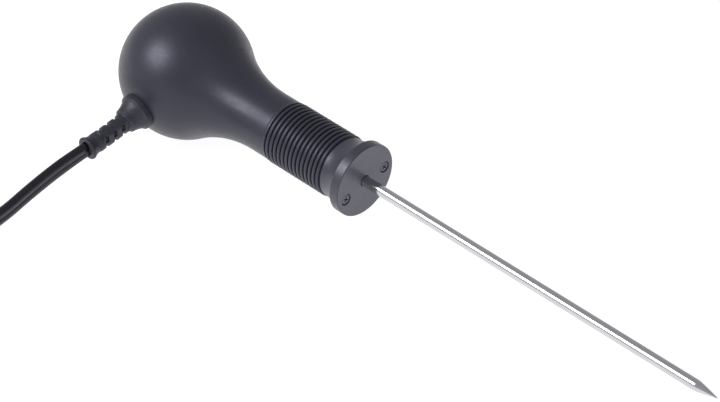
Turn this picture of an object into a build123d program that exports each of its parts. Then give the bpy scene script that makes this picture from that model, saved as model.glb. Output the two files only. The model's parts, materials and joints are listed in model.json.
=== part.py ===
from build123d import *
import os
from math import asin, cos, pi, radians, sin, sqrt, tan

# Penetration probe of a food thermometer, in millimetres.
# The probe lies as it rests on a table: the bulb of the handle and the needle's shoulder touch z = 0.
# +X runs from the bulb to the needle's tip, +Z is up, and the lead leaves the bulb towards -Y.
# The origin is on the table, midway between the back of the bulb and the tip.

# ---------------------------------------------------------------- driving dimensions: handle and needle
BULB_R = 21.3              # outer radius of the bulb
BULB_TO_FACE = 76.5        # bulb centre to the front face of the nose cap
NEEDLE_OUT = 130.0         # front face to the tip
NEEDLE_R = 1.65            # 3.3 mm needle
TIP_LENGTH = 7.0
TUBE_WALL = 0.30
NECK_R = 9.8
WAIST_R = 42.0             # concave radius between the bulb and the neck
SHELL = 2.6                # wall of the bulb
NECK_BORE_R = 6.5
NOSE_R = 11.7
RIM_WIDTH = 3.3
GROOVES = 15
GROOVE_FIRST = 44.4        # distance from the bulb centre to the first groove
GROOVE_LAST = 67.05        # the last groove is the joint between the handle and the nose cap
GROOVE_WIDTH = 0.62
GROOVE_R = 9.35
GROOVE_LEAN = 0.10         # how far a groove's wall leans over its depth
RIB_EDGE_R = 9.88
RIB_CREST_R = 10.08

# ---------------------------------------------------------------- driving dimensions: lead
CORD_WIDTH = 5.2           # flat twin cord, two joined cores
CORD_THICK = 2.6
BOOT_ROLL = 16.5           # degrees below level at which the lead leaves the bulb
BOOT_END_ROLL = 10.0       # degrees below level at the boot's outer end
BOOT_NECK = 27.5           # distance from the bulb centre at which the boot's ladder begins
LADDER_LENGTH = 9.9
COLLAR_LENGTH = 5.1
FIT = 0.03                 # clearance between parts that are assembled

COIL_CENTRE = (-123.1, -103.0)
COIL_IN_R = 24.7
COIL_OUT_R = 35.1
COIL_BASE = 0.55           # the tie's band passes under the coil
COIL_HEIGHT = 10.7
TIE_BAND = 0.5
TIE_WIDTH = 3.0

PLUG_AT = (-158.0, -72.0)  # where the cord enters the plug's body
PLUG_TURN = 90.0           # the blades point towards +Y
PLUG_LENGTH = 19.5
PLUG_WIDTH = 16.0
PLUG_HEIGHT = 8.0
BLADE_SPACING = 7.94
BLADE_OUT = 13.0
BLADE_THICK = 0.8
PLUG_WALL = 1.3
CORE_START = PLUG_WALL + 1.6   # the cord is split this far inside the plug


# ---------------------------------------------------------------- frames
def resting_tilt():
    """Angle below level of the needle when the bulb and the needle's shoulder touch the table."""
    reach = BULB_TO_FACE + NEEDLE_OUT - TIP_LENGTH
    tilt = 0.1
    for _ in range(40):
        tilt = asin((BULB_R - NEEDLE_R * cos(tilt)) / reach)
    return tilt


TILT = resting_tilt()
TIP_Z = BULB_TO_FACE + NEEDLE_OUT
BULB_X = (BULB_R - TIP_Z * cos(TILT)) / 2
# local z runs along the needle, local x is up and local y is towards -Y
HANDLE = Plane(
    origin=(BULB_X, 0, BULB_R),
    x_dir=(sin(TILT), 0, cos(TILT)),
    z_dir=(cos(TILT), 0, -sin(TILT)),
)


def on_handle(shape):
    return HANDLE.location * shape


def boot_direction(roll):
    """Direction in the handle's local frame, square to the needle, roll degrees below level."""
    return Vector(-sin(radians(roll)), cos(radians(roll)), 0)


def boot_side(roll):
    """Direction of the cord's width, square to boot_direction."""
    return Vector(cos(radians(roll)), sin(radians(roll)), 0)


RADIAL = boot_direction(BOOT_ROLL)
BOOT_BASE = Plane(origin=(0, 0, 0), x_dir=boot_side(BOOT_ROLL), z_dir=RADIAL)
BEND = radians(BOOT_ROLL - BOOT_END_ROLL)
BEND_R = LADDER_LENGTH / BEND
LADDER_START = RADIAL * BOOT_NECK
BEND_CENTRE = LADDER_START + boot_side(BOOT_ROLL) * BEND_R


def ladder_point(part_way):
    """Point and direction on the ladder's axis, part_way from 0 to 1 along its arc."""
    roll = BOOT_ROLL - part_way * (BOOT_ROLL - BOOT_END_ROLL)
    return BEND_CENTRE - boot_side(roll) * BEND_R, roll


LADDER_END, _ = ladder_point(1.0)
LADDER_MIDDLE, _ = ladder_point(0.5)
END_DIRECTION = boot_direction(BOOT_END_ROLL)
BOOT_END = LADDER_END + END_DIRECTION * COLLAR_LENGTH


# ---------------------------------------------------------------- helpers
def turned(*edges):
    """Solid of revolution about local z, from edges that close a profile in the XZ plane."""
    return revolve(Face(Wire(list(edges))), Axis.Z)


def closed_profile(points):
    """Solid of revolution from (radius, height) corners."""
    return revolve(Face(Wire.make_polygon([(r, 0, z) for r, z in points])), Axis.Z)


def rod(radius, start, end):
    return Pos(0, 0, start) * Cylinder(radius, end - start, align=(Align.CENTER, Align.CENTER, Align.MIN))


def pipe(outer, inner, start, end):
    return rod(outer, start, end) - rod(inner, start - 1, end + 1)


def wire_along(points, radii, radius):
    """Round wire along straight runs joined by tangent arcs."""
    path = FilletPolyline(*points, radius=radii)
    section = Plane(origin=path @ 0, z_dir=path % 0) * Circle(radius)
    return sweep(section, path)


def cord_section(plane, extra=0.0):
    """Flat cord's section: width along the plane's local x."""
    return plane * SlotOverall(CORD_WIDTH + 2 * extra, CORD_THICK + 2 * extra)


def save(shape, name, colour):
    solids = shape.solids()
    whole = solids[0] if len(solids) == 1 else Compound(children=list(solids))
    whole.label = name
    whole.color = Color(*colour)
    export_step(whole, os.path.join("parts", name + ".step"))
    print(name, len(solids), round(sum(s.volume for s in solids), 2))


# ---------------------------------------------------------------- handle
SCREW_CIRCLE = 8.3
SCREW_ANGLES = (114.0, 278.0)  # about the needle, from straight up towards -Y
SCREW_HEAD_R = 1.65
SCREW_HEAD_H = 1.05
SCREW_SHANK_R = 0.7
SCREW_LENGTH = 12.0
SCREW_SINK = 1.25              # depth of the screw heads' seats below the face
SEAT_R = 1.75
SEAT_EDGE = 0.2                # widening of a seat at the face
BOOT_HOLE_R = 3.65
SPIGOT_START = 58.5
SPIGOT_R = NECK_BORE_R - 0.05


def handle_outline():
    """Edges of the handle's outer surface, from the back of the bulb to the joint with the nose cap."""
    waist_z = sqrt((BULB_R + WAIST_R) ** 2 - (NECK_R + WAIST_R) ** 2)
    share = BULB_R / (BULB_R + WAIST_R)
    meet = (share * (NECK_R + WAIST_R), 0, share * waist_z)
    bulb = ThreePointArc((0, 0, -BULB_R), (BULB_R, 0, 0), meet)
    mid_z = (meet[2] + waist_z) / 2
    mid_r = NECK_R + WAIST_R - sqrt(WAIST_R ** 2 - (waist_z - mid_z) ** 2)
    waist = ThreePointArc(meet, (mid_r, 0, mid_z), (NECK_R, 0, waist_z))
    pitch = (GROOVE_LAST - GROOVE_FIRST) / (GROOVES - 1)
    half = GROOVE_WIDTH / 2
    step_z = GROOVE_FIRST - half - 0.9
    lean = GROOVE_LEAN
    edges = [bulb, waist, Line((NECK_R, 0, waist_z), (NECK_R, 0, step_z))]
    lead_in = (NECK_R + 0.13, 0, step_z + 0.4)
    edges.append(ThreePointArc((NECK_R, 0, step_z), lead_in, (RIB_EDGE_R, 0, step_z + 0.9)))
    for i in range(GROOVES - 1):
        start = GROOVE_FIRST + i * pitch - half
        near = start + GROOVE_WIDTH
        far = start + pitch
        edges.append(Line((RIB_EDGE_R, 0, start), (GROOVE_R, 0, start + lean)))
        edges.append(Line((GROOVE_R, 0, start + lean), (GROOVE_R, 0, near - lean)))
        edges.append(Line((GROOVE_R, 0, near - lean), (RIB_EDGE_R, 0, near)))
        crest = (RIB_CREST_R, 0, (near + far) / 2)
        edges.append(ThreePointArc((RIB_EDGE_R, 0, near), crest, (RIB_EDGE_R, 0, far)))
    end = GROOVE_LAST - half
    edges.append(Line((RIB_EDGE_R, 0, end), (GROOVE_R, 0, end + lean)))
    edges.append(Line((GROOVE_R, 0, end + lean), (GROOVE_R, 0, GROOVE_LAST)))
    return edges


def handle_body():
    cavity_r = BULB_R - SHELL
    taper_z = 14.2
    taper_r = sqrt(cavity_r ** 2 - taper_z ** 2)
    inside = [
        Line((GROOVE_R, 0, GROOVE_LAST), (NECK_BORE_R, 0, GROOVE_LAST)),
        Line((NECK_BORE_R, 0, GROOVE_LAST), (NECK_BORE_R, 0, 34)),
        Line((NECK_BORE_R, 0, 34), (taper_r, 0, taper_z)),
        ThreePointArc((taper_r, 0, taper_z), (cavity_r, 0, 0), (0, 0, -cavity_r)),
        Line((0, 0, -cavity_r), (0, 0, -BULB_R)),
    ]
    body = turned(*handle_outline(), *inside)
    body -= BOOT_BASE.location * rod(BOOT_HOLE_R, 15, 25)
    pilot_start = BULB_TO_FACE - SCREW_SINK - SCREW_LENGTH - 1
    for at in screw_places():
        body -= at * rod(SCREW_SHANK_R + FIT, pilot_start, GROOVE_LAST + 1)
    return body


def screw_places():
    return [Rot(0, 0, angle) * Pos(SCREW_CIRCLE, 0, 0) for angle in SCREW_ANGLES]


COLLAR_R = 4.1
COLLAR_START = 64.5
COLLAR_END = 70.5
CAP_SHOULDER = 71.5
FACE_HOLE_R = 1.75
SEAL_GROOVE = (61.0, 62.8)


def nose_cap():
    joint = GROOVE_LAST + FIT
    rim_z = BULB_TO_FACE - RIM_WIDTH
    cove_start = GROOVE_LAST + GROOVE_WIDTH / 2
    cove_r, cove_end_r = 9.62, 11.3
    rise = cove_end_r - cove_r
    run = rim_z - cove_start
    arc_r = (rise ** 2 + run ** 2) / (2 * rise)
    mid_z = cove_start + 0.6 * run
    mid_r = cove_r + arc_r - sqrt(arc_r ** 2 - (mid_z - cove_start) ** 2)
    edge = 0.25
    low, high = SEAL_GROOVE
    corners = [
        (GROOVE_R, joint), (SPIGOT_R, joint), (SPIGOT_R, high), (SPIGOT_R - 1.3, high), (SPIGOT_R - 1.3, low),
        (SPIGOT_R, low), (SPIGOT_R, SPIGOT_START + 0.5), (SPIGOT_R - 0.5, SPIGOT_START),
        (COLLAR_R + FIT, SPIGOT_START), (COLLAR_R + FIT, CAP_SHOULDER), (FACE_HOLE_R, CAP_SHOULDER),
        (FACE_HOLE_R, BULB_TO_FACE - 0.1), (FACE_HOLE_R + 0.1, BULB_TO_FACE), (NOSE_R - edge, BULB_TO_FACE),
    ]
    edges = [Line((a[0], 0, a[1]), (b[0], 0, b[1])) for a, b in zip(corners, corners[1:])]
    lean = edge * (1 - sqrt(0.5))
    rim_corner = (NOSE_R, 0, BULB_TO_FACE - edge)
    halfway = (NOSE_R - lean, 0, BULB_TO_FACE - lean)
    edges.append(ThreePointArc((NOSE_R - edge, 0, BULB_TO_FACE), halfway, rim_corner))
    edges.append(Line(rim_corner, (NOSE_R, 0, rim_z + 0.2)))
    edges.append(Line((NOSE_R, 0, rim_z + 0.2), (cove_end_r, 0, rim_z)))
    edges.append(ThreePointArc((cove_end_r, 0, rim_z), (mid_r, 0, mid_z), (cove_r, 0, cove_start)))
    edges.append(Line((cove_r, 0, cove_start), (GROOVE_R, 0, cove_start - 0.1)))
    edges.append(Line((GROOVE_R, 0, cove_start - 0.1), (GROOVE_R, 0, joint)))
    cap = turned(*edges)
    for at in screw_places():
        cap -= at * rod(SEAT_R, BULB_TO_FACE - SCREW_SINK, BULB_TO_FACE + 1)
        cap -= at * Pos(0, 0, BULB_TO_FACE) * Cone(SEAT_R, SEAT_R + 2 * SEAT_EDGE, 2 * SEAT_EDGE)
        cap -= at * rod(SCREW_SHANK_R + FIT, GROOVE_LAST - 1, BULB_TO_FACE)
    return cap


def nose_cap_screws():
    seat = BULB_TO_FACE - SCREW_SINK
    screws = []
    for at in screw_places():
        head = rod(SCREW_HEAD_R, seat, seat + SCREW_HEAD_H)
        head = fillet(head.edges().sort_by(Axis.Z)[-1], 0.35)
        for turn in (0, 90):
            head -= Pos(0, 0, seat + SCREW_HEAD_H) * Rot(0, 0, 45 + turn) * Box(1.9, 0.4, 1.1)
        shank = rod(SCREW_SHANK_R, seat - SCREW_LENGTH + 0.8, seat)
        point = Pos(0, 0, seat - SCREW_LENGTH + 0.4) * Cone(0.15, SCREW_SHANK_R, 0.8)
        screws += (at * (head + shank + point)).solids()
    return Compound(children=screws)


def ring(centre_r, section_r, z):
    return Pos(0, 0, z) * Torus(centre_r, section_r)


NUT_START = 60.0


def needle_collar():
    collar = pipe(COLLAR_R, NEEDLE_R + FIT, COLLAR_START, COLLAR_END)
    collar = chamfer(collar.edges().group_by(Axis.Z)[-1].sort_by(SortBy.RADIUS)[-1], 0.4)
    return collar + pipe(2.6, NEEDLE_R + FIT, COLLAR_START - 2.5, COLLAR_START)


def collar_nut():
    nut = pipe(COLLAR_R, 2.7, NUT_START, COLLAR_START - 0.1)
    for turn in (0, 90):
        nut -= Pos(0, 0, NUT_START) * Rot(0, 0, turn) * Box(3 * COLLAR_R, 1.2, 2.2)
    return nut


# ---------------------------------------------------------------- needle and sensor
TUBE_START = 57.0
TUBE_END = TIP_Z - TIP_LENGTH
TUBE_BORE_R = NEEDLE_R - TUBE_WALL
GRIP_GROOVE = (75.0, 76.5)     # rolled groove just inside the nose cap's face
GRIP_DEPTH = 0.17              # how far the groove presses the tube's wall in; it ends level with the face
SPIGOT_LENGTH = 4.0
TIP_BORE_R = 0.8
TIP_BORE_END = TUBE_END + 3.2
BEAD_R = 0.6
BEAD_Z = TUBE_END + 2.0
LEAD_R = 0.2
LEAD_OFFSET = 0.33
SLEEVE_R = 1.17
SLEEVE_BORE_R = 0.7
SLEEVE_START = TUBE_START + 5
SPLICE_OFFSET = 2.6
SPLICE_Z = 44.0
CORE_R = 1.2
STRAND_R = 0.45
CRIMP_R = 0.95
CRIMP_HALF = 3.0
CORE_END_Z = SPLICE_Z - 3.5


def needle_tube():
    """Tube with a rolled groove, as (radius, height) corners up the outside and back down the bore."""
    low, high = GRIP_GROOVE
    lean = 0.3
    outer = [
        (NEEDLE_R, TUBE_START), (NEEDLE_R, low), (NEEDLE_R - GRIP_DEPTH, low + lean),
        (NEEDLE_R - GRIP_DEPTH, high - lean), (NEEDLE_R, high), (NEEDLE_R, TUBE_END),
    ]
    inner = [(r - TUBE_WALL, z) for r, z in reversed(outer)]
    return closed_profile(outer + inner)


def needle_tip():
    """Pencil point with slightly bellied sides, and a spigot welded into the tube."""
    shoulder = (NEEDLE_R, 0, TUBE_END)
    belly = (NEEDLE_R * 0.56, 0, TUBE_END + TIP_LENGTH / 2)
    blunt = 0.08
    end = (blunt, 0, TIP_Z)
    inner = TUBE_BORE_R - FIT
    back = TUBE_END - SPIGOT_LENGTH
    corners = [end, (0, 0, TIP_Z), (0, 0, back), (inner, 0, back), (inner, 0, TUBE_END), shoulder]
    edges = [ThreePointArc(shoulder, belly, end)]
    edges += [Line(a, b) for a, b in zip(corners, corners[1:])]
    return turned(*edges) - rod(TIP_BORE_R, back - 1, TIP_BORE_END)


def lead_points(side):
    """Sensor lead from the bead to its splice; side is +1 or -1."""
    width = boot_side(BOOT_ROLL) * side
    near, wide = width * LEAD_OFFSET, width * SPLICE_OFFSET
    return [
        near + Vector(0, 0, BEAD_Z),
        near + Vector(0, 0, TUBE_START - 1.5),
        wide + Vector(0, 0, SPLICE_Z + 6),
        wide + Vector(0, 0, SPLICE_Z + 0.4),
    ]


def sensor_lead(side):
    return wire_along(lead_points(side), [4, 4], LEAD_R) - Pos(0, 0, BEAD_Z) * Sphere(BEAD_R)


def lead_holes(start, end, clearance):
    width = boot_side(BOOT_ROLL)
    holes = [Pos(*(width * (side * LEAD_OFFSET))) * rod(LEAD_R + clearance, start, end) for side in (1, -1)]
    return holes[0] + holes[1]


def tip_filler():
    start = TUBE_END - SPIGOT_LENGTH + 0.3
    filler = rod(TIP_BORE_R - 0.02, start, TIP_BORE_END - 0.1)
    filler -= Pos(0, 0, BEAD_Z) * Sphere(BEAD_R + 0.02)
    return filler - lead_holes(start - 1, BEAD_Z, 0.02)


def tube_end_seal():
    start, end = TUBE_START + 0.3, SLEEVE_START - 0.3
    return rod(TUBE_BORE_R - 0.02, start, end) - lead_holes(start - 1, end + 1, 0.02)


def splice_places():
    width = boot_side(BOOT_ROLL)
    return [Pos(*(width * (side * SPLICE_OFFSET))) for side in (1, -1)]


def splice_crimps():
    body = pipe(CRIMP_R, STRAND_R + 0.02, SPLICE_Z - CRIMP_HALF, SPLICE_Z + CRIMP_HALF)
    for z in (SPLICE_Z - 1.5, SPLICE_Z + 1.5):
        body -= Pos(CRIMP_R, 0, z) * Box(0.5, 2, 1)
    return Compound(children=[s for at in splice_places() for s in (at * body).solids()])


def splice_sleeves():
    start, mid, end = CORE_END_Z - 4, CORE_END_Z + 0.3, SPLICE_Z + CRIMP_HALF + 1.5
    outline = [
        (CORE_R + 0.02, start), (CORE_R + 0.3, start), (CORE_R + 0.3, mid), (CRIMP_R + 0.35, mid + 0.6),
        (CRIMP_R + 0.35, end - 1), (0.6, end), (0.3, end), (CRIMP_R + 0.05, end - 1.4),
        (CRIMP_R + 0.05, mid + 0.3), (CORE_R + 0.02, mid),
    ]
    body = closed_profile(outline)
    return Compound(children=[s for at in splice_places() for s in (at * body).solids()])


# ---------------------------------------------------------------- strain relief, cord inside the handle
FLANGE_R = 6.0
FLANGE_TOP = 22.6
CONE_END = 26.7                # distance from the bulb centre at which the cone meets its neck
CONE_END_R = 3.95
NECK_GROOVE_R = 3.2
LADDER_WIDTH = 6.8
LADDER_THICK = 4.9
NOTCH_LENGTH = 1.3
NOTCH_PLACES = (0.18, 0.515, 0.85)   # along the ladder's arc, from 0 to 1
NOTCH_TURN = 44.0              # the notches face this far round from the ladder's width
NOTCH_DEPTH = 2.45             # from the axis to the floor of a notch
POCKET_TURN = 110.0            # the pockets between the notches face this far round
POCKET_DEPTH = 1.65            # from the axis to the floor of a pocket, which lays the cord open
POCKET_WIDTH = 2.0
CORE_SPLIT = 8.5               # distance from the bulb centre at which the twin cord is split
TIE_AT = 13.2


def boot_ladder():
    section = Plane(origin=LADDER_START, x_dir=boot_side(BOOT_ROLL), z_dir=RADIAL)
    arc = ThreePointArc(LADDER_START, LADDER_MIDDLE, LADDER_END)
    ladder = sweep(section * SlotOverall(LADDER_WIDTH, LADDER_THICK), arc)
    for part_way in NOTCH_PLACES:
        point, roll = ladder_point(part_way)
        station = Plane(origin=point, x_dir=boot_side(roll), z_dir=boot_direction(roll))
        for side in (1, -1):
            notch = Pos(side * (NOTCH_DEPTH + 2.5), 0, 0) * Box(5, 9, NOTCH_LENGTH)
            pocket = Pos(side * (POCKET_DEPTH + 2.5), 0, 0) * Box(5, POCKET_WIDTH, NOTCH_LENGTH)
            ladder -= station.location * Rot(0, 0, NOTCH_TURN) * notch
            ladder -= station.location * Rot(0, 0, POCKET_TURN) * pocket
    return ladder


def boot_collar():
    """Round collar at the boot's outer end: a waist, then a flared lip."""
    top = COLLAR_LENGTH
    edges = [
        Line((0, 0, 0), (3.12, 0, 0)),
        ThreePointArc((3.12, 0, 0), (3.16, 0, 0.9), (2.98, 0, 2.0)),
        ThreePointArc((2.98, 0, 2.0), (3.14, 0, 3.1), (3.6, 0, 4.1)),
        ThreePointArc((3.6, 0, 4.1), (3.72, 0, top - 0.45), (3.45, 0, top)),
        Line((3.45, 0, top), (0, 0, top)),
        Line((0, 0, top), (0, 0, 0)),
    ]
    end = Plane(origin=LADDER_END, x_dir=boot_side(BOOT_END_ROLL), z_dir=END_DIRECTION)
    return end.location * turned(*edges)


def boot_foot():
    """Flange and cone outside the bulb, plug through the wall, and snap-in lip inside."""
    edges = [
        Line((0, 0, 19.0), (FLANGE_R, 0, 19.0)),
        Line((FLANGE_R, 0, 19.0), (FLANGE_R, 0, FLANGE_TOP - 0.45)),
        ThreePointArc((FLANGE_R, 0, FLANGE_TOP - 0.45), (5.85, 0, FLANGE_TOP - 0.1), (5.5, 0, FLANGE_TOP)),
        ThreePointArc((5.5, 0, FLANGE_TOP), (4.65, 0, 24.2), (CONE_END_R, 0, CONE_END)),
        Line((CONE_END_R, 0, CONE_END), (NECK_GROOVE_R, 0, CONE_END + 0.25)),
        Line((NECK_GROOVE_R, 0, CONE_END + 0.25), (NECK_GROOVE_R, 0, BOOT_NECK + 0.2)),
        Line((NECK_GROOVE_R, 0, BOOT_NECK + 0.2), (0, 0, BOOT_NECK + 0.2)),
        Line((0, 0, BOOT_NECK + 0.2), (0, 0, 19.0)),
    ]
    outside = turned(*edges) - Sphere(BULB_R + FIT)
    through = rod(BOOT_HOLE_R - FIT, 16.4, 22)
    lip = closed_profile([(0, 16.4), (3.9, 16.4), (4.7, 17.2), (4.7, 19), (0, 19)])
    inside = lip & Sphere(BULB_R - SHELL - FIT)
    return BOOT_BASE.location * (outside + through + inside)


def cord_path(start):
    """Centre line of the cord, from start along the radial direction to the boot's outer end."""
    straight = Line(RADIAL * start, LADDER_START)
    bend = ThreePointArc(LADDER_START, LADDER_MIDDLE, LADDER_END)
    return Wire([straight, bend, Line(LADDER_END, BOOT_END)])


def cord_inside(start, extra):
    section = Plane(origin=RADIAL * start, x_dir=boot_side(BOOT_ROLL), z_dir=RADIAL)
    return sweep(cord_section(section, extra), cord_path(start))


def strain_relief_boot():
    boot = boot_foot() + boot_ladder() + boot_collar()
    passage = cord_inside(15.0, FIT)
    end = Plane(origin=BOOT_END - END_DIRECTION, x_dir=boot_side(BOOT_END_ROLL), z_dir=END_DIRECTION)
    mouth = extrude(cord_section(end, FIT), 3)
    return boot - passage - mouth


def cord_core(side):
    width = boot_side(BOOT_ROLL) * side
    lobe = width * (CORD_WIDTH / 4)
    wide = width * SPLICE_OFFSET
    points = [
        RADIAL * CORE_SPLIT + lobe,
        RADIAL * (CORE_SPLIT - 2) + lobe,
        RADIAL * 0.3 + wide + Vector(0, 0, 5),
        wide + Vector(0, 0, 17),
        wide + Vector(0, 0, CORE_END_Z),
    ]
    core = wire_along(points, [1.6, 5, 12], CORE_R)
    return core + Pos(*wide) * rod(STRAND_R, CORE_END_Z - 0.5, SPLICE_Z - 0.6)


def cord_anchor_tie():
    section = Plane(origin=RADIAL * TIE_AT, x_dir=boot_side(BOOT_ROLL), z_dir=RADIAL)
    band = section * SlotOverall(CORD_WIDTH + 2.2, CORD_THICK + 2.2) - cord_section(section, FIT)
    tie = extrude(band, 2.5)
    head = section.location * (Pos(0, CORD_THICK / 2 + 2.1, 1.25) * Box(4.2, 2.6, 3.6))
    tail = section.location * (Pos(0, CORD_THICK / 2 + 4.4, 1.25) * Box(1.0, 3.0, 2.5))
    return tie + head + tail


# ---------------------------------------------------------------- free cord
END_POINT = HANDLE.from_local_coords(BOOT_END)
END_HEADING = (HANDLE.from_local_coords(BOOT_END + END_DIRECTION) - END_POINT).normalized()
COIL_LEVEL = COIL_BASE + CORD_WIDTH / 2
COIL_TOP_LEVEL = COIL_BASE + COIL_HEIGHT - CORD_WIDTH / 2
TURN_R = 33.6                  # centre line of the outermost turn

# Points of the cord from the boot down to the table and along to the coil's first turn.
LEAD_ROUTE = [
    tuple(END_POINT),
    tuple(END_POINT + END_HEADING * 11.6),
    (-93.34, -63.5, 5.28),
    (-91.22, -76.3, COIL_LEVEL),
    (-89.85, -89.3, COIL_LEVEL),
    (COIL_CENTRE[0] + TURN_R, COIL_CENTRE[1] + 1.0, COIL_LEVEL - 0.05),
]
# Points of the cord from the coil's last turn to the plug.
TAIL_ROUTE = [
    (-156.6, -106.0, COIL_TOP_LEVEL),
    (-157.2, -93.7, 6.6),
    (PLUG_AT[0], -81.4, PLUG_HEIGHT / 2),
    (PLUG_AT[0], PLUG_AT[1] + CORE_START, PLUG_HEIGHT / 2),
]


def arc_radii(points):
    """Radius of the arc at each corner: 0.45 of the shorter run, divided by the tangent of half the turn."""
    corners = [Vector(*p) for p in points]
    runs = [b - a for a, b in zip(corners, corners[1:])]
    radii = []
    for one, two in zip(runs, runs[1:]):
        turn = radians(one.get_angle(two))
        radii.append(0.45 * min(one.length, two.length) / tan(turn / 2))
    return radii


def free_cord(points, name):
    """Flat cord on edge along straight runs joined by tangent arcs."""
    radii = arc_radii(points)
    path = FilletPolyline(*points, radius=radii)
    start = path % 0
    side = Vector(0, 0, 1) - start * start.Z
    section = Plane(origin=path @ 0, x_dir=side, z_dir=start)
    cord = sweep(cord_section(section), path)
    area = CORD_THICK * (CORD_WIDTH - CORD_THICK) + pi * CORD_THICK ** 2 / 4
    print(name, "radii", [round(r) for r in radii], "length", round(path.length, 1),
          "volume", round(cord.volume, 1), "section x length", round(area * path.length, 1))
    return cord


def cord_coil():
    ring_solid = pipe(COIL_OUT_R, COIL_IN_R, COIL_BASE, COIL_BASE + COIL_HEIGHT)
    return Pos(*COIL_CENTRE, 0) * ring_solid


def coil_tie():
    """Flat band once round the coil's turns, with its two ends twisted together on top."""
    gap = 0.05
    width = COIL_OUT_R - COIL_IN_R + 2 * gap
    height = COIL_HEIGHT + 2 * gap
    middle = (COIL_OUT_R + COIL_IN_R) / 2
    outer = Box(width + 2 * TIE_BAND, TIE_WIDTH, height + 2 * TIE_BAND - gap)
    band = outer - Box(width, 2 * TIE_WIDTH, height)
    level = COIL_BASE + COIL_HEIGHT / 2
    band = Pos(middle, 0, level) * band
    twist_z = level + height / 2 + TIE_BAND + 0.7
    twist = Pos(middle, 0, twist_z) * Rot(0, 90, 0) * Cylinder(0.95, 9)
    return Pos(*COIL_CENTRE, 0) * Rot(0, 0, 250) * (band + twist)


# ---------------------------------------------------------------- plug
# Local frame of the plug: x towards the blades, z up, x = 0 where the cord enters, split at half height.
PLUG = Plane(
    origin=(PLUG_AT[0], PLUG_AT[1], 0),
    x_dir=(cos(radians(PLUG_TURN)), sin(radians(PLUG_TURN)), 0),
    z_dir=(0, 0, 1),
)
SPLIT = PLUG_HEIGHT / 2
PLUG_REAR_WIDTH = 10.0
SHOULDER_X = 7.0
COVER_SCREW_X = 9.6
COVER_SCREW_R = 1.0
COVER_HEAD_R = 1.9
COVER_HEAD_H = 1.3
INSERT_R = 1.7
GROMMET_WIDTH = 7.0
GROMMET_THICK = 4.8
GROMMET_OUT = 4.6
BLADE_WIDTHS = {1: 2.4, -1: 3.2}
BLADE_IN = 6.5
TERMINAL_X = PLUG_LENGTH - 4.2
MOVING_GAP = 0.05


def on_plug(shape):
    return PLUG.location * shape


def plug_outline(inset):
    """Plan of the plug: square front, sides drawn in towards the cord's end."""
    half, rear = PLUG_WIDTH / 2 - inset, PLUG_REAR_WIDTH / 2 - inset
    front, back = PLUG_LENGTH - inset, inset
    waist = SHOULDER_X + inset * 0.4
    points = [(back, -rear), (waist, -half), (front, -half), (front, half), (waist, half), (back, rear)]
    return make_face(Polyline(*points, close=True))


def plug_half(low, high):
    """Outer block of one half, its upright edges rounded."""
    block = Pos(0, 0, low) * extrude(plug_outline(0), high - low)
    return fillet(block.edges().filter_by(Axis.Z), 1.4)


def grommet_opening(extra):
    """Stadium on edge along the plug's x axis, where the grommet sits."""
    section = Plane(origin=(-1, 0, SPLIT), x_dir=(0, 0, 1), z_dir=(1, 0, 0))
    return extrude(section * SlotOverall(GROMMET_WIDTH + 2 * extra, GROMMET_THICK + 2 * extra), PLUG_WALL + 2)


def blade_slots(extra):
    slots = []
    for side, width in BLADE_WIDTHS.items():
        slot = Box(BLADE_IN + 1, width + 2 * extra, BLADE_THICK + 2 * extra)
        slots.append(Pos(PLUG_LENGTH - BLADE_IN / 2 + 0.5, side * BLADE_SPACING / 2, SPLIT) * slot)
    return slots[0] + slots[1]


def plug_cavity(low, high):
    return Pos(0, 0, low) * extrude(plug_outline(PLUG_WALL), high - low)


def plug_base():
    base = plug_half(0, SPLIT)
    base -= plug_cavity(PLUG_WALL, SPLIT + 1)
    base += Pos(COVER_SCREW_X, 0, 0) * rod(INSERT_R + 1.0, PLUG_WALL / 2, SPLIT)
    for side in BLADE_WIDTHS:
        seat = Box(BLADE_IN, 4.6, SPLIT - BLADE_THICK / 2 - 0.6)
        seat_x = PLUG_LENGTH - BLADE_IN / 2 - 0.2
        seat_z = (SPLIT - BLADE_THICK / 2 + 0.6) / 2
        base += Pos(seat_x, side * BLADE_SPACING / 2, seat_z) * seat
    base -= Pos(COVER_SCREW_X, 0, 0) * rod(INSERT_R + 0.02, 1.0, SPLIT + 1)
    base -= blade_slots(0.02)
    for side in BLADE_WIDTHS:
        base -= Pos(TERMINAL_X, side * BLADE_SPACING / 2, 0) * rod(0.72, 1.2, SPLIT)
    return base - grommet_opening(0.02)


def plug_cover():
    low = SPLIT + MOVING_GAP
    cover = plug_half(low, PLUG_HEIGHT)
    cover = fillet(cover.faces().sort_by(Axis.Z)[-1].edges(), 0.6)
    cover -= plug_cavity(SPLIT - 1, PLUG_HEIGHT - PLUG_WALL)
    boss = Pos(COVER_SCREW_X, 0, 0) * rod(COVER_HEAD_R + 0.9, low + 1.1, PLUG_HEIGHT - 0.5)
    cover += boss
    seat = PLUG_HEIGHT - COVER_HEAD_H - 0.2
    cover -= Pos(COVER_SCREW_X, 0, 0) * rod(COVER_SCREW_R + MOVING_GAP, 0, PLUG_HEIGHT + 1)
    cover -= Pos(COVER_SCREW_X, 0, 0) * rod(COVER_HEAD_R + 0.3, seat, PLUG_HEIGHT + 1)
    for x in (2.4, 3.8, 5.2):
        for side in (1, -1):
            cover -= Pos(x, side * 5.4, PLUG_HEIGHT) * Box(0.7, 5.2, 0.8)
    cover -= blade_slots(0.3)
    return cover - grommet_opening(0.3)


def plug_insert():
    body = pipe(INSERT_R, COVER_SCREW_R + MOVING_GAP, 1.05, SPLIT - 0.35)
    body -= ring(INSERT_R + 0.15, 0.35, 2.3)
    return Pos(COVER_SCREW_X, 0, 0) * body


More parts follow.
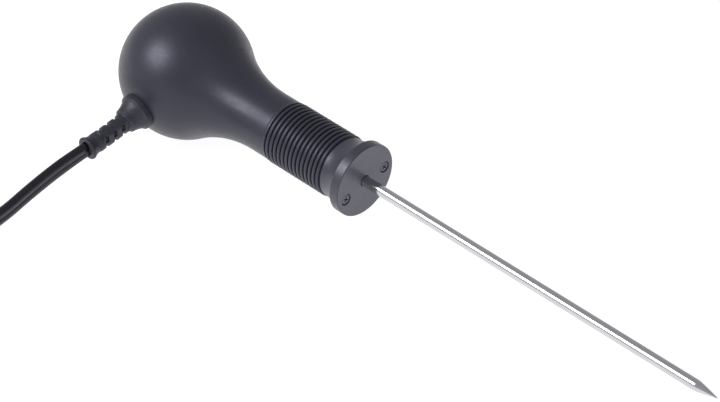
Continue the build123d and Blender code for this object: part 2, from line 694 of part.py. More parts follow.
def plug_cover_screw():
    seat = PLUG_HEIGHT - COVER_HEAD_H - 0.2 + MOVING_GAP
    head = rod(COVER_HEAD_R, seat, seat + COVER_HEAD_H)
    head = fillet(head.edges().sort_by(Axis.Z)[-1], 0.35)
    head -= Pos(0, 0, seat + COVER_HEAD_H) * Box(5, 0.6, 1.3)
    return Pos(COVER_SCREW_X, 0, 0) * (head + rod(COVER_SCREW_R, 1.4, seat))


def plug_blade(side):
    width = BLADE_WIDTHS[side]
    start, end = PLUG_LENGTH - BLADE_IN, PLUG_LENGTH + BLADE_OUT
    blade = Pos((start + end) / 2, side * BLADE_SPACING / 2, SPLIT) * Box(end - start, width, BLADE_THICK)
    tip_edges = blade.faces().sort_by(Axis.X)[-1].edges()
    blade = chamfer(tip_edges, 0.25)
    return blade - Pos(TERMINAL_X, side * BLADE_SPACING / 2, 0) * rod(0.72, 0, PLUG_HEIGHT)


def plug_terminal_screws():
    low = SPLIT + BLADE_THICK / 2
    head = rod(1.25, low + 0.02, low + 0.9)
    head -= Pos(0, 0, low + 0.9) * Box(3, 0.35, 0.7)
    screw = head + rod(0.7, 1.5, low + 0.02)
    places = [Pos(TERMINAL_X, side * BLADE_SPACING / 2, 0) for side in BLADE_WIDTHS]
    return Compound(children=[s for at in places for s in (at * screw).solids()])


def plug_grommet():
    section = Plane(origin=(-GROMMET_OUT, 0, SPLIT), x_dir=(0, 0, 1), z_dir=(1, 0, 0))
    length = GROMMET_OUT + PLUG_WALL + 0.1
    sleeve = extrude(section * SlotOverall(GROMMET_WIDTH, GROMMET_THICK), length)
    core = section * SlotOverall(GROMMET_WIDTH - 0.7, GROMMET_THICK - 0.7)
    groove = section * SlotOverall(GROMMET_WIDTH + 2, GROMMET_THICK + 2) - core
    for x in (1.2, 2.9):
        sleeve -= Pos(x, 0, 0) * extrude(groove, 0.8)
    lip = Pos(PLUG_WALL + 0.55, 0, SPLIT) * Box(0.9, GROMMET_THICK + 2.4, PLUG_HEIGHT - 2 * PLUG_WALL - 0.3)
    bore_start = Plane(origin=(-GROMMET_OUT - 1, 0, SPLIT), x_dir=(0, 0, 1), z_dir=(1, 0, 0))
    bore = extrude(cord_section(bore_start, FIT), GROMMET_OUT + 6)
    return sleeve + lip - bore


def plug_core(side):
    """One core of the cord, from the split inside the plug to its terminal screw."""
    lift = side * CORD_WIDTH / 4
    out = side * BLADE_SPACING / 2
    points = [
        (CORE_START + 0.2, 0, SPLIT + lift * 0.9),
        (CORE_START + 1.5, side * 0.5, SPLIT + lift * 0.8),
        (CORE_START + 3.3, side * 4.2, SPLIT + lift * 0.4),
        (TERMINAL_X - 4.0, out, SPLIT),
        (TERMINAL_X - 2.6, out, SPLIT),
    ]
    return wire_along(points, [0.6, 1.2, 0.8], STRAND_R)


# ---------------------------------------------------------------- output
GREY = (0.17, 0.17, 0.2)
BLACK = (0.04, 0.04, 0.05)
STEEL = (0.75, 0.75, 0.77)
BRASS = (0.78, 0.62, 0.32)
RED = (0.6, 0.12, 0.1)
WHITE = (0.85, 0.84, 0.8)
SILICONE = (0.55, 0.2, 0.14)


def main():
    os.makedirs("parts", exist_ok=True)
    handle_pieces = {
        "handle_body": (handle_body(), GREY),
        "nose_cap": (nose_cap(), GREY),
        "nose_cap_screws": (nose_cap_screws(), GREY),
        "nose_seal": (ring(SPIGOT_R - 0.66, 0.64, sum(SEAL_GROOVE) / 2), SILICONE),
        "needle_collar": (needle_collar(), BRASS),
        "collar_seal": (ring(NEEDLE_R + 0.65, 0.45, (COLLAR_END + CAP_SHOULDER) / 2), SILICONE),
        "collar_nut": (collar_nut(), BRASS),
        "needle_tube": (needle_tube(), STEEL),
        "needle_tip": (needle_tip(), STEEL),
        "sensor_bead": (Pos(0, 0, BEAD_Z) * Sphere(BEAD_R), STEEL),
        "tip_filler": (tip_filler(), WHITE),
        "lead_sleeve": (pipe(SLEEVE_R, SLEEVE_BORE_R, SLEEVE_START, TUBE_END - SPIGOT_LENGTH - 0.3), WHITE),
        "tube_end_seal": (tube_end_seal(), SILICONE),
        "sensor_lead_positive": (sensor_lead(1), BRASS),
        "sensor_lead_negative": (sensor_lead(-1), STEEL),
        "splice_crimps": (splice_crimps(), STEEL),
        "splice_sleeves": (splice_sleeves(), BLACK),
        "cord_core_positive": (cord_core(1), RED),
        "cord_core_negative": (cord_core(-1), BLACK),
        "cord_anchor_tie": (cord_anchor_tie(), WHITE),
        "cord_inner": (cord_inside(CORE_SPLIT, 0.0), BLACK),
        "strain_relief_boot": (strain_relief_boot(), GREY),
    }
    for name, (shape, colour) in handle_pieces.items():
        save(on_handle(shape), name, colour)
    save(free_cord(LEAD_ROUTE, "lead_cord"), "lead_cord", BLACK)
    save(cord_coil(), "cord_coil", BLACK)
    save(coil_tie(), "coil_tie", WHITE)
    save(free_cord(TAIL_ROUTE, "cord_tail"), "cord_tail", BLACK)
    plug_pieces = {
        "plug_base": (plug_base(), BLACK),
        "plug_cover": (plug_cover(), BLACK),
        "plug_insert": (plug_insert(), BRASS),
        "plug_cover_screw": (plug_cover_screw(), STEEL),
        "plug_blade_positive": (plug_blade(1), BRASS),
        "plug_blade_negative": (plug_blade(-1), BRASS),
        "plug_terminal_screws": (plug_terminal_screws(), STEEL),
        "plug_grommet": (plug_grommet(), BLACK),
        "plug_core_positive": (plug_core(1), RED),
        "plug_core_negative": (plug_core(-1), BLACK),
    }
    for name, (shape, colour) in plug_pieces.items():
        save(on_plug(shape), name, colour)


main()
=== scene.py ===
import json
from math import asin, cos, exp, pi, radians, sin

import bpy
from mathutils import Matrix, Vector
from mathutils.bvhtree import BVHTree


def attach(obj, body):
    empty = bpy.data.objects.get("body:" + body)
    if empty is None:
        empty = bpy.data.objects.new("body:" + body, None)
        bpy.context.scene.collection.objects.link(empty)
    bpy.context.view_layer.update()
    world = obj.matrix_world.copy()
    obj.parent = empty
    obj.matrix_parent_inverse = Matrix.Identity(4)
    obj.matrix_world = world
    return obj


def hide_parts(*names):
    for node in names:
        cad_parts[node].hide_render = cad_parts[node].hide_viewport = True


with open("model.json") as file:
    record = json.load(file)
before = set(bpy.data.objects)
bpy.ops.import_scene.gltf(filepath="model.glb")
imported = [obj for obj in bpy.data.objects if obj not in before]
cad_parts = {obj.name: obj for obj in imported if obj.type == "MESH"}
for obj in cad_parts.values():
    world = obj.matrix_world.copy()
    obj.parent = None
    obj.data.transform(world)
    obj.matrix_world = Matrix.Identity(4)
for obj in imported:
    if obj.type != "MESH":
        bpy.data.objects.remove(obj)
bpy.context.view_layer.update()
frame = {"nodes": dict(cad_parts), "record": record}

MM = 0.001
UP = Vector((0, 0, 1))

# ---------------------------------------------------------------- camera
CAMERA_AT = (0.41048, -0.44687, 0.39204)
CAMERA_AZIMUTH = 43.8
CAMERA_ELEVATION = 31.95
SENSOR = 36.0
LENS = 123.55


def camera():
    data = bpy.data.cameras.new("camera")
    data.sensor_width = SENSOR
    data.lens = LENS
    data.clip_start = 0.01
    data.clip_end = 50
    made = bpy.data.objects.new("camera", data)
    made.location = CAMERA_AT
    made.rotation_euler = (radians(90 - CAMERA_ELEVATION), 0, radians(CAMERA_AZIMUTH))
    bpy.context.scene.collection.objects.link(made)
    bpy.context.scene.camera = made


# ---------------------------------------------------------------- mesh helpers
def new_object(name, verts, faces, smooth=True):
    data = bpy.data.meshes.new(name)
    data.from_pydata([tuple(v) for v in verts], [], faces)
    data.validate()
    if smooth:
        data.shade_smooth()
    made = bpy.data.objects.new(name, data)
    bpy.context.scene.collection.objects.link(made)
    return made


def tube(name, path, frames, profile):
    """Closed tube: profile(i) gives the section's (side, lift) points at path point i."""
    rings = [profile(i) for i in range(len(path))]
    count = len(rings[0])
    verts = []
    for point, (side, lift), ring in zip(path, frames, rings):
        verts += [point + side * u + lift * v for u, v in ring]
    faces = []
    for i in range(len(path) - 1):
        for k in range(count):
            a, b = i * count + k, i * count + (k + 1) % count
            faces.append((a, b, b + count, a + count))
    faces.append(tuple(reversed(range(count))))
    faces.append(tuple(range((len(path) - 1) * count, len(path) * count)))
    made = new_object(name, verts, faces)
    for cap in made.data.polygons[-2:]:
        cap.use_smooth = False
    return made


def spline_points(route, resolution=8):
    """Points read from a NURBS spline whose control points are the route."""
    curve = bpy.data.curves.new("route", "CURVE")
    curve.dimensions = "3D"
    spline = curve.splines.new("NURBS")
    spline.points.add(len(route) - 1)
    for point, place in zip(spline.points, route):
        point.co = (*place, 1)
    spline.order_u = 3
    spline.use_endpoint_u = True
    spline.resolution_u = resolution
    bare = bpy.data.objects.new("route", curve)
    line = bpy.data.meshes.new_from_object(bare)
    points = [v.co.copy() for v in line.vertices]
    bpy.data.objects.remove(bare)
    bpy.data.curves.remove(curve)
    bpy.data.meshes.remove(line)
    return points


def headings(points):
    """Direction of travel at each point of a line."""
    ends = [points[0], *points, points[-1]]
    return [(b - a).normalized() for a, b in zip(ends, ends[2:])]


# ---------------------------------------------------------------- lead
CORD_WIDTH = 0.0052
CORD_THICK = 0.0026
WEB_THICK = 0.0012
UPPER_CORE_R = 0.0015

# Control points from the boot's mouth to the coil, in metres.
LEAD_ROUTE = [
    (-0.09318, -0.04102, 0.01039),
    (-0.09319, -0.04398, 0.00987),
    (-0.09323, -0.05245, 0.00834),
    (-0.09334, -0.0635, 0.00528),
    (-0.09122, -0.0763, 0.00315),
    (-0.08985, -0.0893, 0.00315),
    (-0.0895, -0.1020, 0.0031),
]
# Control points from the coil to the plug.
TAIL_ROUTE = [
    (-0.1566, -0.1060, 0.00865),
    (-0.1572, -0.0937, 0.0066),
    (-0.1580, -0.0814, 0.0040),
    (-0.1580, -0.0691, 0.0040),
]
COIL_CENTRE = Vector((-0.1231, -0.1030, 0))
COIL_TURNS = 4.5
POINTS_PER_TURN = 16
OUTER_TURN = 0.0339        # radius of the control points of the outermost turn
TURN_PITCH = 0.00285
LOWER_LAYER = 0.00315
UPPER_LAYER = 0.00865
RISE_FROM, RISE_TO = 1.9, 2.3
RISE_DIP = 0.0011          # the cord leans inwards where it climbs to the upper layer
RISE_SPREAD = 0.18         # turns over which that lean comes and goes
BOOT_SIDE = Vector((0.097039, -0.173648, 0.980015))   # the cord's width as it leaves the boot
UNTWIST = 0.012            # length over which the cord turns from the boot's slant to on edge
FLOOR_SHEEN_CORE = "floor_sheen_core"  # mesh attribute: 1 on the lower core, which has a dull finish and a paler colour that is painted reflection of the floor
GROOVE_FADE = 0.0028       # length over which the groove fills up towards the boot


def coil_points():
    """Control points of the coil: in on the lower layer, up, and out again on the upper layer."""
    points = []
    for i in range(1, round(COIL_TURNS * POINTS_PER_TURN)):
        turn = i / POINTS_PER_TURN
        climb = min(1, max(0, (turn - RISE_FROM) / (RISE_TO - RISE_FROM)))
        level = LOWER_LAYER + (UPPER_LAYER - LOWER_LAYER) * climb * climb * (3 - 2 * climb)
        dip = RISE_DIP * exp(-((turn - (RISE_FROM + RISE_TO) / 2) / RISE_SPREAD) ** 2)
        uneven = 0.00012 * sin(5.3 * turn + 1.1) + 0.00008 * sin(11.9 * turn)
        radius = OUTER_TURN - TURN_PITCH * min(turn, COIL_TURNS - turn) - dip + uneven
        angle = -2 * pi * turn
        points.append(COIL_CENTRE + Vector((radius * cos(angle), radius * sin(angle), level)))
    return points


def cord_profile(fade, steps=22):
    """Two unequal round cores joined by a web, width along the first axis; fade fills the groove."""
    rim = []
    for way, radius in ((1, UPPER_CORE_R), (-1, CORD_WIDTH / 2 - UPPER_CORE_R)):
        lobe = radius + (CORD_THICK / 2 - radius) * fade
        web = WEB_THICK + (0.97 * CORD_THICK - WEB_THICK) * fade
        centre = CORD_WIDTH / 2 - lobe
        reach = pi - asin(web / (2 * lobe))
        for k in range(steps + 1):
            turn = way * reach * (2 * k / steps - 1)
            rim.append((way * (centre + lobe * cos(turn)), lobe * sin(turn)))
    return rim


def cord_frames(points):
    """Side and lift at each point: the cord stays on edge, and untwists from the boot's slant."""
    frames = []
    travelled = 0
    for i, (point, along) in enumerate(zip(points, headings(points))):
        if i:
            travelled += (point - points[i - 1]).length
        share = min(1, travelled / UNTWIST)
        width = BOOT_SIDE.lerp(UP, share * share * (3 - 2 * share))
        side = (width - along * width.dot(along)).normalized()
        frames.append((side, along.cross(side)))
    return frames


def lead():
    route = [Vector(p) for p in LEAD_ROUTE] + coil_points() + [Vector(p) for p in TAIL_ROUTE]
    points = spline_points(route)

    def section(i):
        return cord_profile(fade_at(points[i]))

    made = tube("probe_lead", points, cord_frames(points), section)
    around = len(cord_profile(0))
    # flags the lower core, which is coloured paler as painted reflection of the floor
    sheen_core = made.data.attributes.new(FLOOR_SHEEN_CORE, "FLOAT", "POINT")
    for i, sheen_value in enumerate(sheen_core.data):
        sheen_value.value = float(i % around >= around / 2)
    return made, points


def fade_at(point):
    """The groove between the cores is filled where the cord enters the boot."""
    share = min(1, (point - Vector(LEAD_ROUTE[0])).length / GROOVE_FADE)
    return (1 - share) ** 2


camera()
lead_piece, lead_path = lead()


# ---------------------------------------------------------------- materials
class Nodes:
    """Small wrapper that adds nodes to one material."""

    def __init__(self, name):
        self.material = bpy.data.materials.new(name)
        self.material.use_nodes = True
        self.tree = self.material.node_tree
        self.shader = self.tree.nodes["Principled BSDF"]
        self.place = self.add("ShaderNodeTexCoord").outputs["Object"]

    def add(self, kind, **values):
        node = self.tree.nodes.new(kind)
        for key, value in values.items():
            setattr(node, key, value)
        return node

    def link(self, source, target):
        self.tree.links.new(source, target)

    def stretched(self, scale, turn=(0, 0, 0)):
        mapping = self.add("ShaderNodeMapping")
        mapping.inputs["Scale"].default_value = scale
        mapping.inputs["Rotation"].default_value = turn
        self.link(self.place, mapping.inputs["Vector"])
        return mapping.outputs["Vector"]

    def noise(self, scale, detail=3.0, roughness=0.5, place=None):
        node = self.add("ShaderNodeTexNoise")
        node.inputs["Scale"].default_value = scale
        node.inputs["Detail"].default_value = detail
        node.inputs["Roughness"].default_value = roughness
        self.link(place or self.place, node.inputs["Vector"])
        return node.outputs["Fac"]

    def ranged(self, source, low, high, from_low=0.3, from_high=0.7):
        node = self.add("ShaderNodeMapRange")
        node.inputs["From Min"].default_value = from_low
        node.inputs["From Max"].default_value = from_high
        node.inputs["To Min"].default_value = low
        node.inputs["To Max"].default_value = high
        self.link(source, node.inputs["Value"])
        return node.outputs["Result"]

    def mixed(self, share, one, two):
        """Colour between two colours, by a share from 0 to 1."""
        node = self.add("ShaderNodeMix", data_type="RGBA")
        sockets = {s.identifier: s for s in node.inputs}
        a, b = sockets["A_Color"], sockets["B_Color"]
        for socket, colour in ((a, one), (b, two)):
            if hasattr(colour, "links"):
                self.link(colour, socket)
            else:
                socket.default_value = (*colour, 1)
        self.link(share, sockets["Factor_Float"])
        return {s.identifier: s for s in node.outputs}["Result_Color"]

    def bumps(self, *layers):
        """Chain of bumps, each (height, strength, distance in metres)."""
        normal = None
        for height, strength, distance in layers:
            bump = self.add("ShaderNodeBump")
            bump.inputs["Strength"].default_value = strength
            bump.inputs["Distance"].default_value = distance
            self.link(height, bump.inputs["Height"])
            if normal:
                self.link(normal, bump.inputs["Normal"])
            normal = bump.outputs["Normal"]
        self.link(normal, self.shader.inputs["Normal"])

    def colour(self, source):
        self.link(source, self.shader.inputs["Base Color"])

    def rough(self, source):
        self.link(source, self.shader.inputs["Roughness"])

    def tint(self, colour):
        self.shader.inputs["Specular Tint"].default_value = (*colour, 1)

    def fixed(self, **values):
        for key, value in values.items():
            self.shader.inputs[key.replace("_", " ")].default_value = value


def shade(colour, factor):
    return tuple(c * factor for c in colour)


COOL_TINT = (0.84, 0.84, 1.0)      # specular tint shared by the moulded materials and the rubbers


def moulded(name, colour, roughness, grain=4200, depth=0.00002, spread=0.16, specks=0.0, ior=1.5):
    """Satin moulded plastic: fine grain, slow changes of tone and of gloss, and a few dull specks."""
    made = Nodes(name)
    slow = made.noise(55, 3)
    fine = made.noise(grain, 2, 0.6)
    tone = made.mixed(made.ranged(slow, 0, 1), shade(colour, 1 - spread), shade(colour, 1 + spread))
    if specks:
        dots = made.add("ShaderNodeTexVoronoi")
        dots.inputs["Scale"].default_value = 420
        made.link(made.place, dots.inputs["Vector"])
        spot = made.ranged(dots.outputs["Distance"], specks, 0, 0.05, 0.16)
        tone = made.mixed(spot, tone, shade(colour, 0.45))
    made.colour(tone)
    made.rough(made.ranged(made.noise(900, 4), roughness - 0.04, roughness + 0.05))
    made.bumps((fine, 0.35, depth), (made.noise(300, 2), 0.12, depth * 3))
    made.fixed(IOR=ior)
    made.tint(COOL_TINT)
    return made.material


NEEDLE_AXIS = (0.995133, 0, -0.098536)   # from the bulb to the tip
FACE_GLOSS = -0.09                       # change of roughness from the cap's sides to its front


def lit_front_plastic(name, side, lit_face):
    """Moulded plastic whose front, square to the needle, is smoother than its sides, and coloured paler
    as painted light from the bright floor ahead of it.
    """
    made = Nodes(name)
    front = made.add("ShaderNodeVectorMath", operation="DOT_PRODUCT")
    made.link(made.add("ShaderNodeNewGeometry").outputs["True Normal"], front.inputs[0])
    front.inputs[1].default_value = NEEDLE_AXIS
    share = made.ranged(front.outputs["Value"], 0, 1, 0.9, 0.97)
    slow = made.ranged(made.noise(90, 3), 0, 1)
    sides = made.mixed(slow, shade(side, 0.86), shade(side, 1.14))
    # the front's paler colour is painted light, not the plastic's own colour
    made.colour(made.mixed(share, sides, made.mixed(slow, shade(lit_face, 0.92), shade(lit_face, 1.08))))
    gloss = made.add("ShaderNodeMath", operation="MULTIPLY_ADD")
    made.link(share, gloss.inputs[0])
    gloss.inputs[1].default_value = FACE_GLOSS
    made.link(made.ranged(made.noise(900, 4), 0.33, 0.41), gloss.inputs[2])
    made.rough(gloss.outputs["Value"])
    made.bumps((made.noise(4200, 2, 0.6), 0.3, 0.00002), (made.noise(300, 2), 0.1, 0.00005))
    made.fixed(IOR=1.6)
    made.tint(COOL_TINT)
    return made.material


def rubber(name, colour, roughness):
    """Soft moulded rubber: mottled, with a coarser skin than the handle's."""
    made = Nodes(name)
    blotch = made.noise(650, 4, 0.65)
    made.colour(made.mixed(made.ranged(blotch, 0, 1), shade(colour, 0.7), shade(colour, 1.35)))
    made.rough(made.ranged(made.noise(1500, 3), roughness - 0.08, roughness + 0.1))
    made.bumps((made.noise(2600, 3, 0.6), 0.5, 0.00004), (made.noise(700, 2), 0.3, 0.00008))
    made.tint(COOL_TINT)
    return made.material


def glossy(name, colour, roughness):
    """Extruded or dipped plastic: smooth, with faint waves and rubbed patches."""
    made = Nodes(name)
    wear = made.ranged(made.noise(140, 4), 0, 1)
    made.colour(made.mixed(wear, shade(colour, 0.8), shade(colour, 1.3)))
    made.rough(made.ranged(made.noise(420, 4), roughness - 0.05, roughness + 0.09))
    made.bumps((made.noise(260, 2), 0.2, 0.00006), (made.noise(3000, 2), 0.15, 0.00001))
    return made.material


def twin_cord(name, colour, roughness, painted_sheen_colour, sheen_core_roughness):
    """Extruded cord with one glossy core and one dull core, whose paler colour is painted reflection of
    the bright floor.
    """
    made = Nodes(name)
    share = made.add("ShaderNodeAttribute", attribute_name=FLOOR_SHEEN_CORE).outputs["Fac"]
    wear = made.ranged(made.noise(140, 4), 0, 1)
    bright = made.mixed(wear, shade(colour, 0.8), shade(colour, 1.3))
    # painted reflection: the lower core is coloured paler to stand for the bright floor it faces
    dull = made.mixed(wear, shade(painted_sheen_colour, 0.85), shade(painted_sheen_colour, 1.15))
    made.colour(made.mixed(share, bright, dull))
    rubbed = made.ranged(made.noise(420, 4), -0.05, 0.09)
    finish = made.add("ShaderNodeMath", operation="ADD")
    made.link(made.ranged(share, roughness, sheen_core_roughness, 0, 1), finish.inputs[0])
    made.link(rubbed, finish.inputs[1])
    made.rough(finish.outputs["Value"])
    made.bumps((made.noise(260, 2), 0.2, 0.00006), (made.noise(3000, 2), 0.15, 0.00001))
    made.tint((0.86, 0.86, 1.0))
    return made.material


def metal(name, colour, roughness, line=(1, 1, 1), turn=(0, 0, 0), scratch=0.25, tarnish=0.12):
    """Bare metal with working marks drawn out along one direction."""
    made = Nodes(name)
    drawn = made.stretched(line, turn)
    marks = made.noise(5200, 3, 0.6, drawn)
    cloud = made.noise(160, 4)
    made.colour(made.mixed(made.ranged(cloud, 0, 1), shade(colour, 1 - tarnish), colour))
    made.rough(made.ranged(marks, roughness * 0.75, roughness * 1.5))
    made.bumps((marks, scratch, 0.000004))
    made.fixed(Metallic=1.0)
    return made.material


NEEDLE_TURN = (0, radians(-5.655), 0)   # turns the pattern's first axis along the needle

MATERIALS = {
    "handle_plastic": moulded("handle_plastic", (0.027, 0.027, 0.040), 0.385, specks=0.5),
    # cap front colour is painted light: paler than the sides, where the bright floor lights it
    "cap_plastic": lit_front_plastic("cap_plastic", (0.036, 0.036, 0.049), (0.075, 0.075, 0.094)),
    "boot_rubber": rubber("boot_rubber", (0.025, 0.025, 0.034), 0.46),
    "needle_steel": metal("needle_steel", (0.62, 0.62, 0.64), 0.11, line=(0.04, 1, 1), turn=NEEDLE_TURN,
                          scratch=0.05, tarnish=0.06),
    # Not metallic: a coating, matched to the dark round features in the photo.
    "screw_steel": moulded("screw_steel", (0.06, 0.06, 0.075), 0.30, ior=1.7),
    "plain_steel": metal("plain_steel", (0.58, 0.58, 0.60), 0.32),
    "brass_parts": metal("brass_parts", (0.78, 0.60, 0.28), 0.28),
    "seal_silicone": rubber("seal_silicone", (0.42, 0.10, 0.06), 0.45),
    "insulation": glossy("insulation", (0.80, 0.78, 0.72), 0.35),
    "filler": rubber("filler", (0.70, 0.68, 0.62), 0.60),
    # the lower core's paler colour is painted reflection of the floor
    "cord_pvc": twin_cord("cord_pvc", (0.005, 0.005, 0.007), 0.24, (0.045, 0.045, 0.054), 0.45),
    "core_red": glossy("core_red", (0.42, 0.03, 0.025), 0.32),
    "core_black": glossy("core_black", (0.014, 0.014, 0.016), 0.32),
    "sleeve_black": rubber("sleeve_black", (0.02, 0.02, 0.022), 0.5),
    "tie_nylon": moulded("tie_nylon", (0.72, 0.70, 0.64), 0.38),
    "coil_tie_film": glossy("coil_tie_film", (0.02, 0.02, 0.024), 0.30),
    "plug_plastic": moulded("plug_plastic", (0.017, 0.017, 0.019), 0.40, grain=3000, depth=0.00004),
    "blade_alloy": metal("blade_alloy", (0.62, 0.60, 0.54), 0.26, (0.1, 1, 1)),
}


def dress(piece, slot):
    piece.data.materials.clear()
    piece.data.materials.append(MATERIALS[slot])


def dress_frame():
    """Every CAD node that stays takes the material of the record's slot for it."""
    for part in frame["record"]["subparts"]:
        dress(frame["nodes"][part["node"]], part["material_slot"])


def add_piece(piece, body, slot, *nodes):
    dress(piece, slot)
    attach(piece, body)
    if nodes:
        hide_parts(*nodes)
    return piece


# ---------------------------------------------------------------- strain relief boot
BOOT_VOXEL = 0.14          # millimetres
BOOT_SOFTENING = 5         # rounds of smoothing
HELD_GAP = 0.1             # millimetres from the cord within which nothing is smoothed
FREE_GAP = 0.3             # further millimetres over which smoothing grows to full


def in_millimetres(node):
    data = frame["nodes"][node].data.copy()
    data.transform(Matrix.Scale(1 / MM, 4))
    return data


def with_modifier(data, kind, weights=None, **settings):
    """Mesh after one modifier, which can be held back by a weight at each vertex."""
    work = bpy.data.objects.new("work", data)
    bpy.context.scene.collection.objects.link(work)
    modifier = work.modifiers.new(kind, kind)
    for key, value in settings.items():
        setattr(modifier, key, value)
    if weights:
        group = work.vertex_groups.new(name="free")
        for i, weight in enumerate(weights):
            group.add([i], weight, "REPLACE")
        modifier.vertex_group = "free"
    bpy.context.view_layer.update()
    result = bpy.data.meshes.new_from_object(work.evaluated_get(bpy.context.evaluated_depsgraph_get()))
    bpy.data.objects.remove(work)
    return result


def softened(node, name, voxel, rounds, inner):
    """Copy of a CAD node with its edges rounded off, as rubber leaves a mould.

    Vertices close to the inner node are smoothed less, so the copy stays tight on it.
    """
    meshed = with_modifier(in_millimetres(node), "REMESH", mode="VOXEL", voxel_size=voxel)
    core = in_millimetres(inner)
    corners = [v.co for v in core.vertices]
    tree = BVHTree.FromPolygons(corners, [tuple(p.vertices) for p in core.polygons])
    gaps = [tree.find_nearest(v.co)[3] for v in meshed.vertices]
    free = [min(1, max(0, (gap - HELD_GAP) / FREE_GAP)) for gap in gaps]
    result = with_modifier(meshed, "SMOOTH", free, factor=0.5, iterations=rounds)
    result.transform(Matrix.Scale(MM, 4))
    result.shade_smooth()
    made = bpy.data.objects.new(name, result)
    bpy.context.scene.collection.objects.link(made)
    return made


# ---------------------------------------------------------------- twist tie round the coil
TIE_ANGLE = radians(250)
TIE_OUT = Vector((cos(TIE_ANGLE), sin(TIE_ANGLE), 0))
TIE_ALONG = Vector((-sin(TIE_ANGLE), cos(TIE_ANGLE), 0))
# Points of the band round the turns, as (distance from the coil's middle, height) in millimetres.
TIE_BAND = [
    (28.9, 12.2), (27.0, 11.7), (25.8, 11.4), (25.8, 9.0), (25.9, 6.6), (27.0, 3.8), (28.2, 1.0),
    (28.8, 0.3), (31.0, 0.28), (34.0, 0.28), (34.9, 0.5), (35.0, 3.0), (35.0, 6.5), (35.2, 9.5),
    (35.0, 11.5), (33.5, 11.75), (31.0, 11.75), (29.7, 11.8), (29.2, 12.2),
]
TWIST_FROM, TWIST_TO = 29.4, 33.4
TWIST_LEVEL = 12.65
TWIST_R = 0.42
TWISTS = 2.5
TWIST_STEPS = 40
BAND_HALF, TWISTED_HALF = 1.5, 0.75    # half the ribbon's width, flat and where it is twisted
NARROWING = 3              # points over which the band has already narrowed, next to the twist
# Ends bent away from the twist, as (distance from the coil's middle, sideways, height).
TIE_ENDS = [(34.1, 0.9, 12.7), (34.8, 1.7, 12.9), (35.2, 2.7, 12.8)]


def tie_point(out, along, up):
    return COIL_CENTRE + (TIE_OUT * out + TIE_ALONG * along + UP * up) * MM


def strand(phase):
    """One end of the tie: wound round the other, then bent away. Gives (point, side) pairs, outwards."""
    pairs = []
    for k in range(TWIST_STEPS + 1):
        share = k / TWIST_STEPS
        turn = phase + 2 * pi * TWISTS * share
        out = TWIST_FROM + (TWIST_TO - TWIST_FROM) * share
        side = TIE_ALONG * -sin(turn) + UP * cos(turn)
        level = TWIST_LEVEL + TWIST_R * sin(turn)
        pairs.append((tie_point(out, TWIST_R * cos(turn), level), side))
    splay = 1 if phase else -1
    for out, along, up in TIE_ENDS:
        pairs.append((tie_point(out, splay * along, up), UP))
    return pairs


def twist_tie():
    """Ribbon with a wire in it: once round the coil's turns, its ends twisted together on top."""
    band = spline_points([tie_point(out, 0, up) for out, up in TIE_BAND], 5)
    pairs = strand(0)[::-1] + [(p, TIE_ALONG) for p in band] + strand(pi)
    path = [point for point, _ in pairs]
    frames = []
    for (_, side), along in zip(pairs, headings(path)):
        square = (side - along * side.dot(along)).normalized()
        frames.append((square, along.cross(square)))
    ends = len(strand(0))

    def section(i):
        flat = ends + NARROWING < i < len(path) - ends - NARROWING
        wide = BAND_HALF if flat else TWISTED_HALF
        outline = [(-wide, 0.1), (-0.42, 0.13), (-0.2, 0.26), (0.2, 0.26), (0.42, 0.13), (wide, 0.1)]
        return [(u * MM, v * MM) for u, v in outline + [(u, -v) for u, v in reversed(outline)]]

    return tube("twist_tie", path, frames, section)


# ---------------------------------------------------------------- floor and lights
FLOOR_HALF = 6.0
FLOOR_GLOW = 0.94
HORIZON = 0.52             # strength of the room's light at the horizon
ZENITH = 0.42              # and overhead
KEY_FROM = (-0.31, -0.71, 0.66)
KEY_DISTANCE = 1.0
KEY_WIDTH, KEY_HEIGHT = 0.55, 0.48
KEY_POWER = 7.3
KEY_AIM = (-0.06, 0, 0.012)


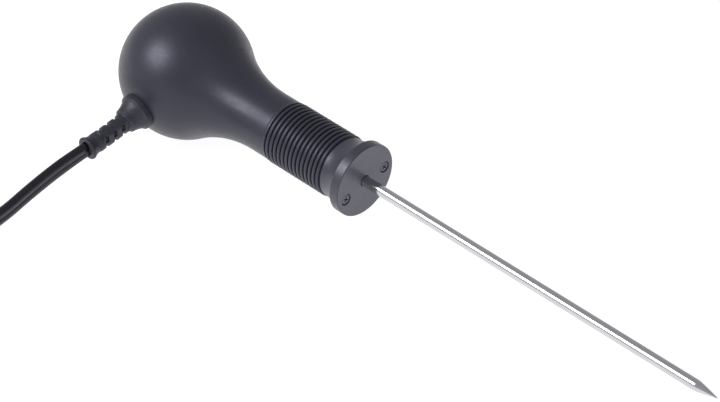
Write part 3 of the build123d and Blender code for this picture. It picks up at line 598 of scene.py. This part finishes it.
def floor():
    """Sheet that is near white mostly from its own glow, so that shadows on it stay faint."""
    half = FLOOR_HALF
    corners = [(-half, -half, 0), (half, -half, 0), (half, half, 0), (-half, half, 0)]
    made = new_object("floor", corners, [(0, 1, 2, 3)], smooth=False)
    paper = Nodes("floor_paper")
    cloud = paper.ranged(paper.noise(30, 3), 0, 1)
    paper.colour(paper.mixed(cloud, (0.22, 0.22, 0.22), (0.25, 0.25, 0.25)))
    paper.fixed(Roughness=0.9, Specular_IOR_Level=0.0)
    paper.fixed(Emission_Color=(1, 1, 1, 1), Emission_Strength=FLOOR_GLOW)
    made.data.materials.append(paper.material)


def soft_light(name, direction, distance, width, height, power, aim):
    data = bpy.data.lights.new(name, "AREA")
    data.shape = "RECTANGLE"
    data.size = width
    data.size_y = height
    data.energy = power
    made = bpy.data.objects.new(name, data)
    to_light = Vector(direction).normalized()
    made.location = Vector(aim) + to_light * distance
    made.rotation_euler = to_light.to_track_quat("Z", "Y").to_euler()
    bpy.context.scene.collection.objects.link(made)


def surroundings():
    """Room that is dimmer overhead than at the horizon, and one soft box over the lead's side."""
    world = bpy.data.worlds.new("studio")
    world.use_nodes = True
    bpy.context.scene.world = world
    tree = world.node_tree
    place = tree.nodes.new("ShaderNodeTexCoord")
    split = tree.nodes.new("ShaderNodeSeparateXYZ")
    fall = tree.nodes.new("ShaderNodeMapRange")
    fall.inputs["From Min"].default_value = 0.0
    fall.inputs["From Max"].default_value = 0.9
    fall.inputs["To Min"].default_value = HORIZON
    fall.inputs["To Max"].default_value = ZENITH
    tree.links.new(place.outputs["Generated"], split.inputs["Vector"])
    tree.links.new(split.outputs["Z"], fall.inputs["Value"])
    tree.links.new(fall.outputs["Result"], tree.nodes["Background"].inputs["Strength"])
    tree.nodes["Background"].inputs["Color"].default_value = (0.97, 0.98, 1.0, 1)
    soft_light("key", KEY_FROM, KEY_DISTANCE, KEY_WIDTH, KEY_HEIGHT, KEY_POWER, KEY_AIM)
    bpy.context.scene.view_settings.view_transform = "Standard"


dress_frame()
add_piece(lead_piece, "probe", "cord_pvc", "lead_cord", "cord_coil", "cord_tail")
boot = add_piece(softened("strain_relief_boot", "soft_boot", BOOT_VOXEL, BOOT_SOFTENING, "cord_inner"),
                 "probe", "boot_rubber", "strain_relief_boot")
tie = add_piece(twist_tie(), "probe", "coil_tie_film", "coil_tie")
floor()
surroundings()
